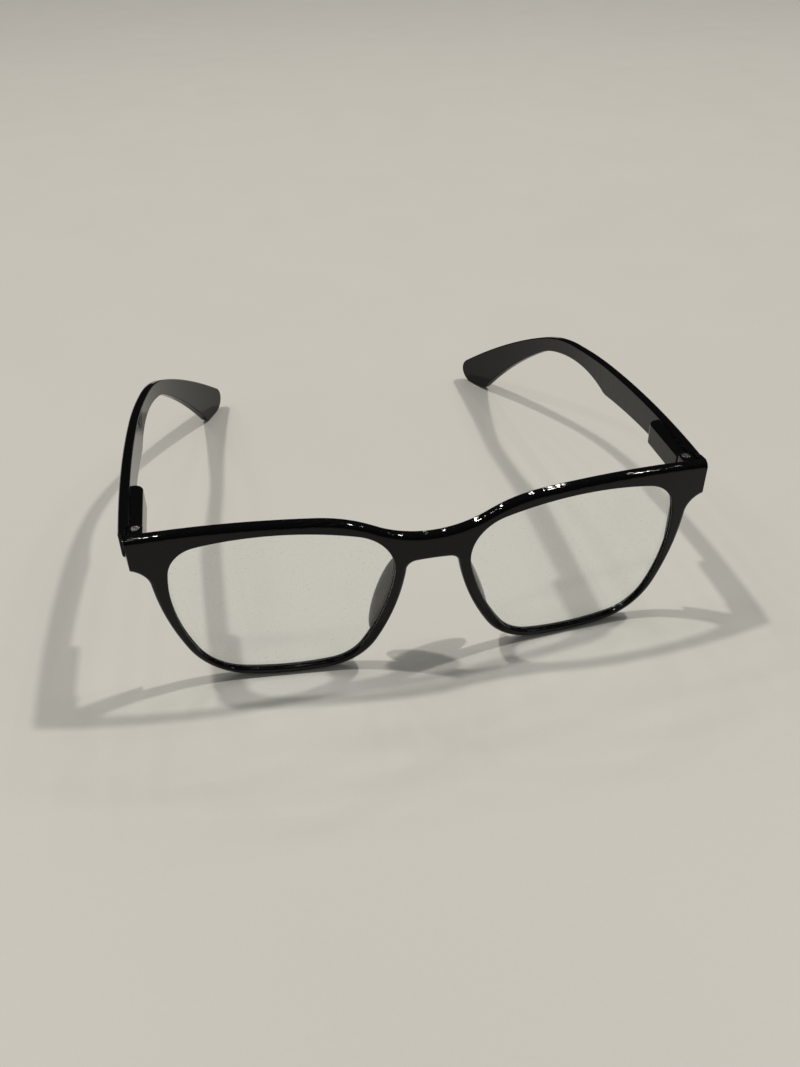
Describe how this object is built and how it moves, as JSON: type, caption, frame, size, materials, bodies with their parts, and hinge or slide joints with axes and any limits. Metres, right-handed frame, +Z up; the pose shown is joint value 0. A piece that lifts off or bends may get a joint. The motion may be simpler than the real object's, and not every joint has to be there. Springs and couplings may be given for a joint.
{
  "type": "blue light glasses",
  "caption": "Full-rim black plastic spectacles with clear lenses, moulded nose pads and spring-hinged temples that fold and flex outward.",
  "frame": {"origin": "on the table, under the middle of the whole object's box, temples open", "axes": "+X to the wearer's left, -Y the way the front faces, +Y towards the temple tips, +Z up from the table"},
  "size_m": [0.1456, 0.1556, 0.0478],
  "materials": {
    "gloss_black": "polished injection moulded black",
    "clear_lens": "clear coated polycarbonate, faint blue-green residual reflection",
    "hinge_steel": "bright rolled stainless",
    "spring_wire": "drawn spring wire",
    "screw_silver": "turned nickel silver",
    "nylon": "natural nylon"
  },
  "bodies": {
    "front": {"front_frame": "gloss_black", "lens_left": "clear_lens", "lens_right": "clear_lens", "hinge_screw_left": "screw_silver", "hinge_screw_right": "screw_silver"},
    "bush_left": {"hinge_bush_left": "nylon"},
    "slider_left": {"hinge_slider_left": "hinge_steel", "guide_screw_left": "hinge_steel"},
    "arm_left": {"temple_left": "gloss_black", "hinge_box_left": "hinge_steel", "stop_collar_left": "hinge_steel", "spring_left": "spring_wire"},
    "bush_right": {"hinge_bush_right": "nylon"},
    "slider_right": {"hinge_slider_right": "hinge_steel", "guide_screw_right": "hinge_steel"},
    "arm_right": {"temple_right": "gloss_black", "hinge_box_right": "hinge_steel", "stop_collar_right": "hinge_steel", "spring_right": "spring_wire"}
  },
  "joints": [
    {"name": "fold_left", "type": "hinge", "parent": "front", "child": "bush_left", "pos_m": [0.0683, -0.06459, 0.0404], "axis": [0, 0, 1], "range_deg": [0, 83]},
    {"name": "flex_left", "type": "hinge", "parent": "bush_left", "child": "slider_left", "pos_m": [0.0683, -0.06459, 0.0404], "axis": [0, 0, -1], "range_deg": [0, 5]},
    {"name": "spring_slide_left", "type": "slide", "parent": "slider_left", "child": "arm_left", "axis": [0, 1, 0], "range_m": [0, 0.0005], "stiffness_N_per_m": 1500, "deforming": ["spring_left"]},
    {"name": "fold_right", "type": "hinge", "parent": "front", "child": "bush_right", "pos_m": [-0.0683, -0.06459, 0.0404], "axis": [0, 0, -1], "range_deg": [0, 64]},
    {"name": "flex_right", "type": "hinge", "parent": "bush_right", "child": "slider_right", "pos_m": [-0.0683, -0.06459, 0.0404], "axis": [0, 0, 1], "range_deg": [0, 5]},
    {"name": "spring_slide_right", "type": "slide", "parent": "slider_right", "child": "arm_right", "axis": [0, 1, 0], "range_m": [0, 0.0005], "stiffness_N_per_m": 1500, "deforming": ["spring_right"]}
  ],
  "couplings": [
    {"joint": "spring_slide_left", "follows": "flex_left", "m_per_rad": 0.005},
    {"joint": "spring_slide_right", "follows": "flex_right", "m_per_rad": 0.005}
  ]
}
